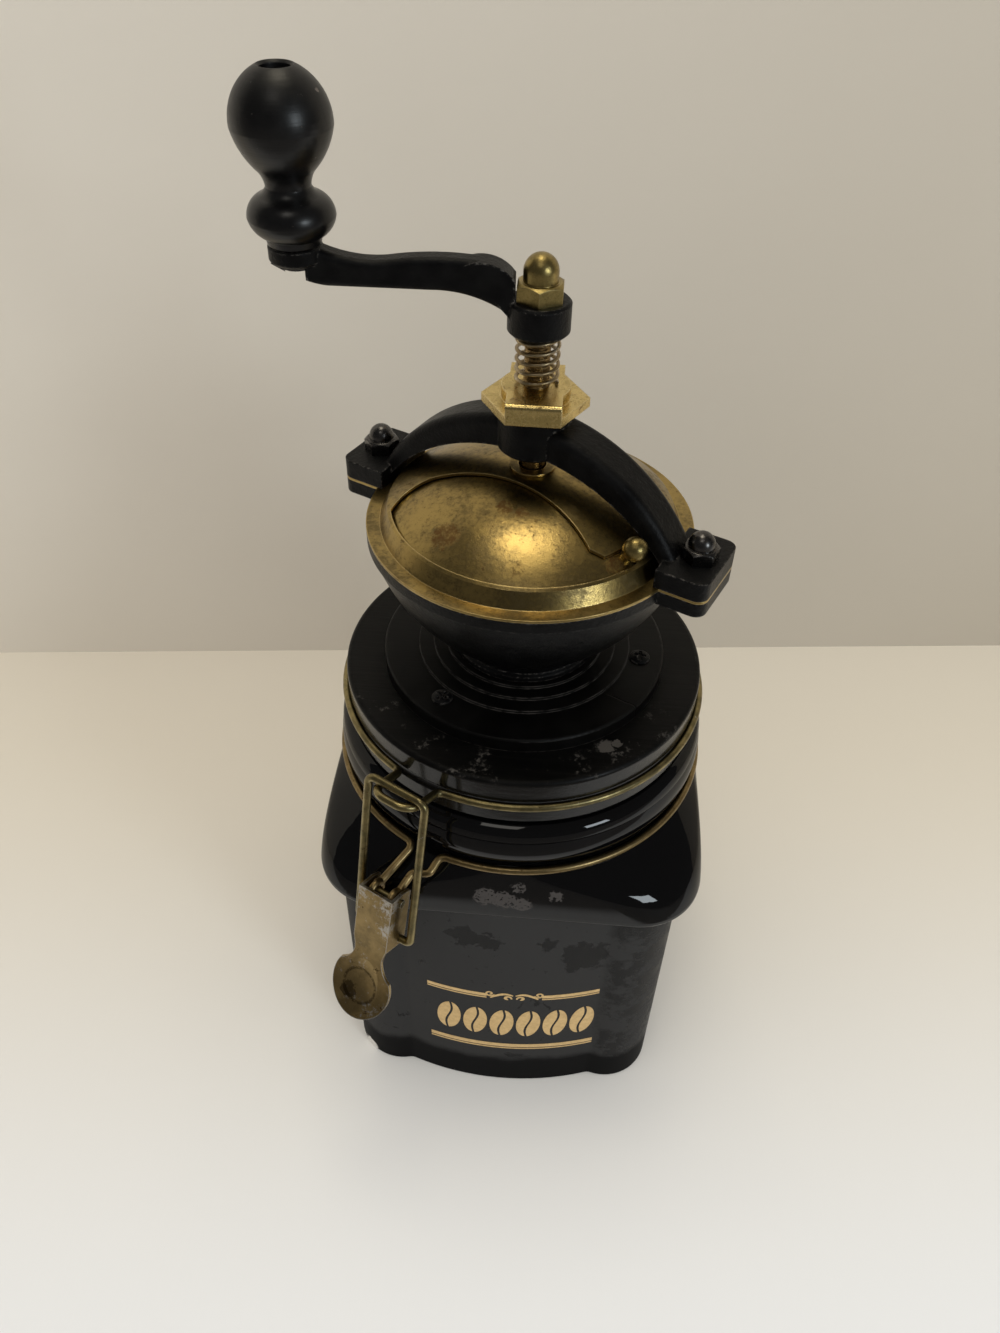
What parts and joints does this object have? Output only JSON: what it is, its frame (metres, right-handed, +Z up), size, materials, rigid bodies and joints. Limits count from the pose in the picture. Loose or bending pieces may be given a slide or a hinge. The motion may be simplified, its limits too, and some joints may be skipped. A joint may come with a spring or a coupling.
{
  "type": "hand coffee mill",
  "caption": "Table-top hand coffee mill: crank, domed brass cover, cast hopper and burrs on the wooden lid of a clip-top black ceramic jar.",
  "frame": {"origin": "centre of the jar's base, on the surface it stands on", "axes": "+Z up along the spindle, -Y towards the front, +X to the right"},
  "size_m": [0.1178, 0.1344, 0.2961],
  "materials": {
    "black_glaze": "gloss glaze",
    "black_wood": "semi-matte black paint",
    "knob_wood": "semi-gloss black paint",
    "seal_rubber": "matt",
    "black_casting": "black enamel",
    "burr_steel": "as cast",
    "cover_brass": "tarnished",
    "nut_brass": "worn satin",
    "lever_brass": "worn plating",
    "wire_brass": "tarnished plating",
    "screw_steel": "dulled",
    "spindle_steel": "oiled",
    "spring_steel": "bright"
  },
  "bodies": {
    "jar": {"ceramic_jar": "black_glaze", "ceramic_neck": "black_glaze", "neck_wire": "wire_brass", "lever_pin": "wire_brass"},
    "lid": {"lid_board": "black_wood", "lid_plug": "black_wood", "lid_gasket": "seal_rubber", "plinth_disc": "black_wood", "plinth_screws": "screw_steel", "lid_wire": "wire_brass", "hopper_bowl": "black_casting", "ring_burr": "burr_steel", "bearing_bar": "black_casting", "bar_screws": "screw_steel", "dome_cover": "cover_brass", "dome_ferrule": "cover_brass", "bridge": "black_casting", "ear_bolts": "screw_steel", "ear_nuts": "screw_steel"},
    "crank": {"spindle": "spindle_steel", "cone_burr": "burr_steel", "burr_pin": "screw_steel", "crank_arm": "black_casting", "knob_bolt": "screw_steel", "acorn_nut": "nut_brass", "spring": "spring_steel"},
    "nut": {"adjusting_nut": "nut_brass"},
    "knob": {"knob_grip": "knob_wood"},
    "shutter": {"shutter_shell": "cover_brass", "shutter_knob": "nut_brass"},
    "lever": {"latch_lever": "lever_brass"},
    "link": {"latch_link": "wire_brass"}
  },
  "joints": [
    {"name": "lid_hinge", "type": "hinge", "parent": "jar", "child": "lid", "pos_m": [0.02768, 0.05097, 0.133], "axis": [-0.8788, 0.4772, 0], "range_deg": [0, 100]},
    {"name": "lever_pivot", "type": "hinge", "parent": "jar", "child": "lever", "pos_m": [-0.03226, -0.05941, 0.112], "axis": [-0.8788, 0.4772, 0], "range_deg": [0, 85]},
    {"name": "link_pivot", "type": "hinge", "parent": "lever", "child": "link", "pos_m": [-0.03302, -0.06081, 0.0976], "axis": [-0.8788, 0.4772, 0], "range_deg": [-75, 0]},
    {"name": "crank_spin", "type": "hinge", "parent": "lid", "child": "crank", "pos_m": [0, 0, 0.225], "axis": [0, 0, 1], "continuous": true},
    {"name": "knob_spin", "type": "hinge", "parent": "crank", "child": "knob", "pos_m": [-0.05227, -0.00183, 0.28], "axis": [0, 0, 1], "continuous": true},
    {"name": "nut_turn", "type": "hinge", "parent": "crank", "child": "nut", "pos_m": [0, 0, 0.229], "axis": [0, 0, 1], "range_deg": [-180, 180]},
    {"name": "shutter_turn", "type": "hinge", "parent": "lid", "child": "shutter", "pos_m": [0, 0, 0.205], "axis": [0, 0, 1], "range_deg": [-120, 0]}
  ],
  "couplings": [
    {"joint": "link_pivot", "follows": "lever_pivot", "ratio": -0.85}
  ]
}
